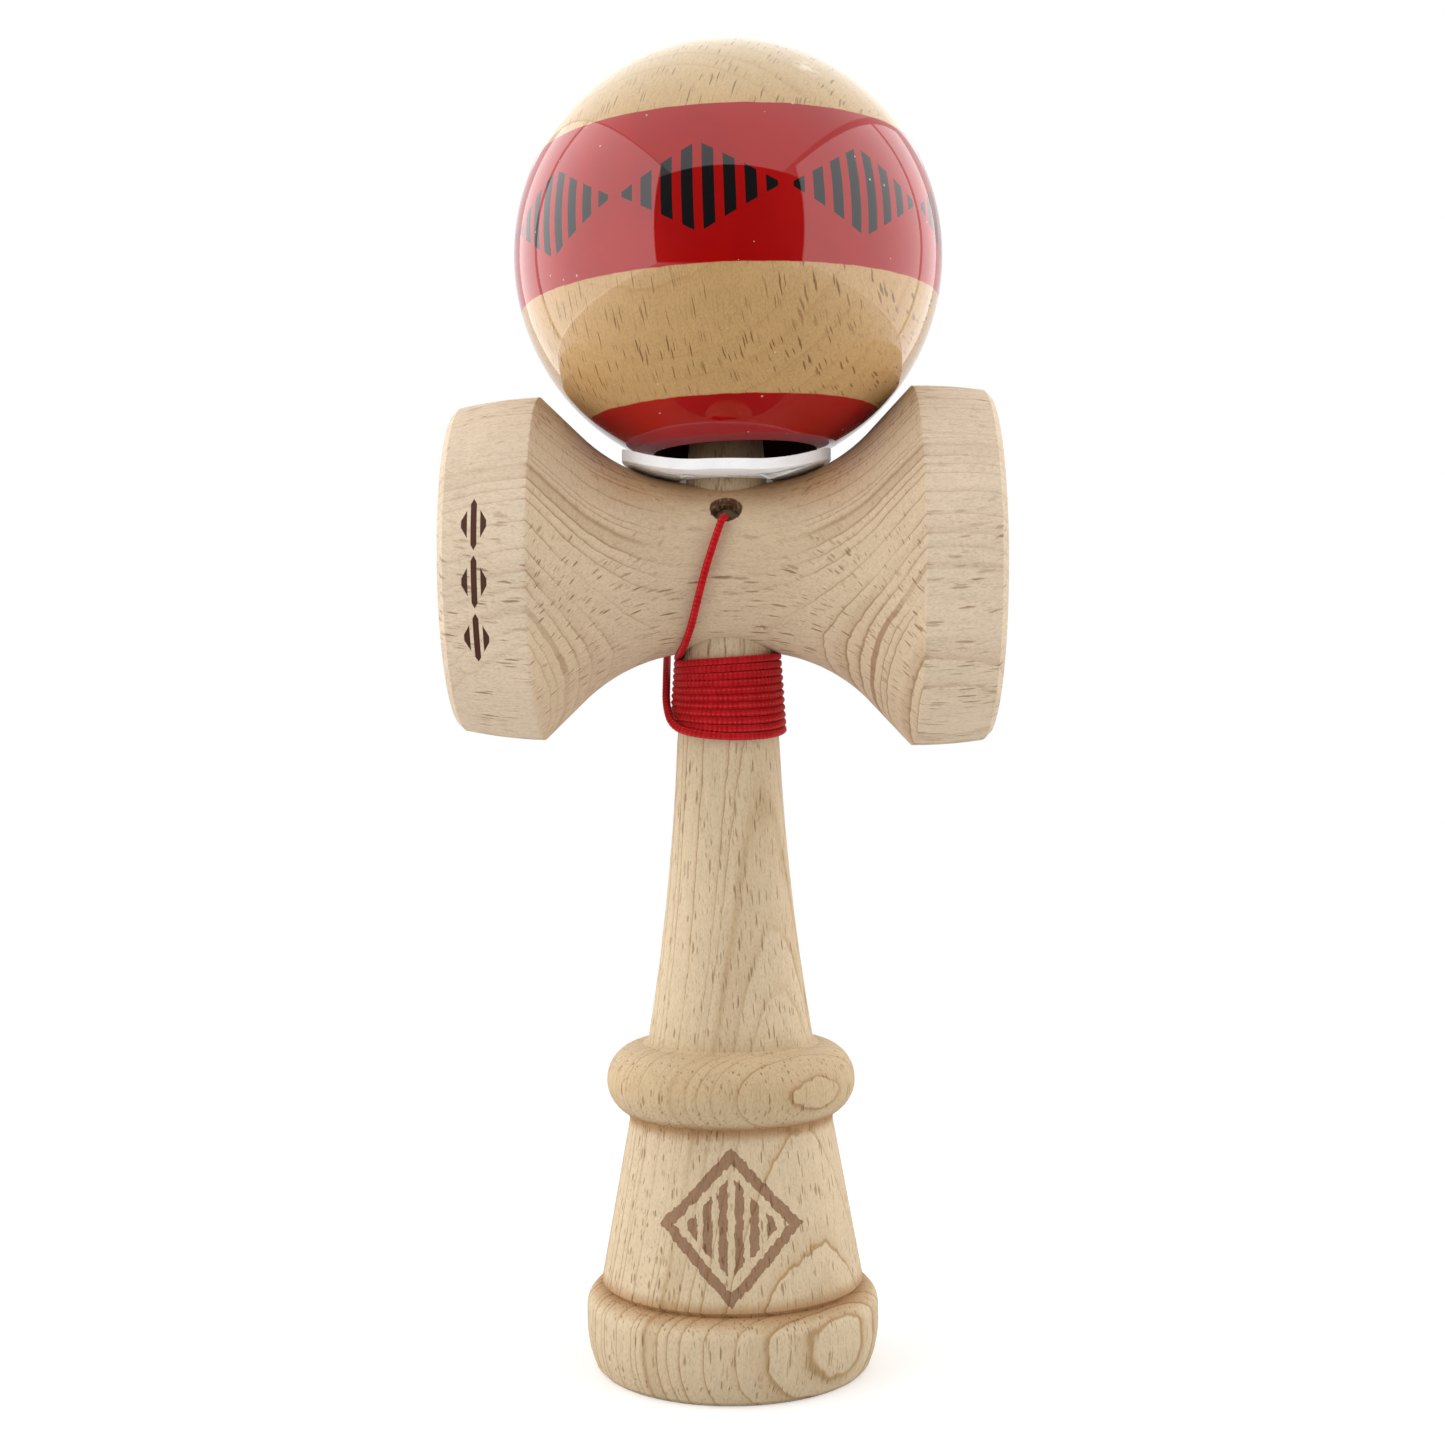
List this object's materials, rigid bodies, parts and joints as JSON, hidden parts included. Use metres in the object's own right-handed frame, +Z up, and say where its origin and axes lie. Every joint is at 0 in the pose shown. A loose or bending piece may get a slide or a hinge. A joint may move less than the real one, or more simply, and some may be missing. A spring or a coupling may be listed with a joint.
{
  "type": "kendama",
  "caption": "Cup-and-ball skill toy: a turned wooden stick with a spike, a base cup and a two-cup cross-piece; a bored ball stands on the spike, its cord wound on the shaft.",
  "frame": {"origin": "middle of the base cup's rim, on the floor that the toy stands on", "axes": "+Z up the stick, +X to the big cup, -X to the small cup, -Y to the side with the string hole"},
  "size_m": [0.0739, 0.0615, 0.1861],
  "materials": {
    "beech": "matte, fine sanded",
    "lacquered_beech": "gloss lacquer with painted red bands",
    "bead": "matte",
    "foam": "closed-cell foam",
    "paper": "torn release paper",
    "cord": "fine braid"
  },
  "bodies": {
    "handle": {"stick": "beech", "cross_piece": "beech", "anchor_knot": "cord", "cord_anchor": "cord", "cord_front_strand": "cord", "cord_winding": "cord", "cord_riser": "cord"},
    "cord_end": {"bead": "bead", "bead_knot": "cord", "cord_tail": "cord", "cord_over_ball": "cord"},
    "ball": {"ball": "lacquered_beech"},
    "foam": {"foam_ring": "foam", "foam_backing": "paper"}
  },
  "joints": [
    {"name": "ball_lift", "type": "slide", "parent": "handle", "child": "cord_end", "axis": [0, 0, 1], "range_m": [0, 0.04]},
    {"name": "ball_spin", "type": "hinge", "parent": "cord_end", "child": "ball", "pos_m": [0.0005, 0, 0.1547], "axis": [-0.0297, 0, 0.9996], "continuous": true},
    {"name": "foam_lift", "type": "slide", "parent": "handle", "child": "foam", "axis": [0, 0, 1], "range_m": [0, 0.02]}
  ],
  "couplings": [
    {"joint": "foam_lift", "follows": "ball_lift", "ratio": 0.5}
  ]
}
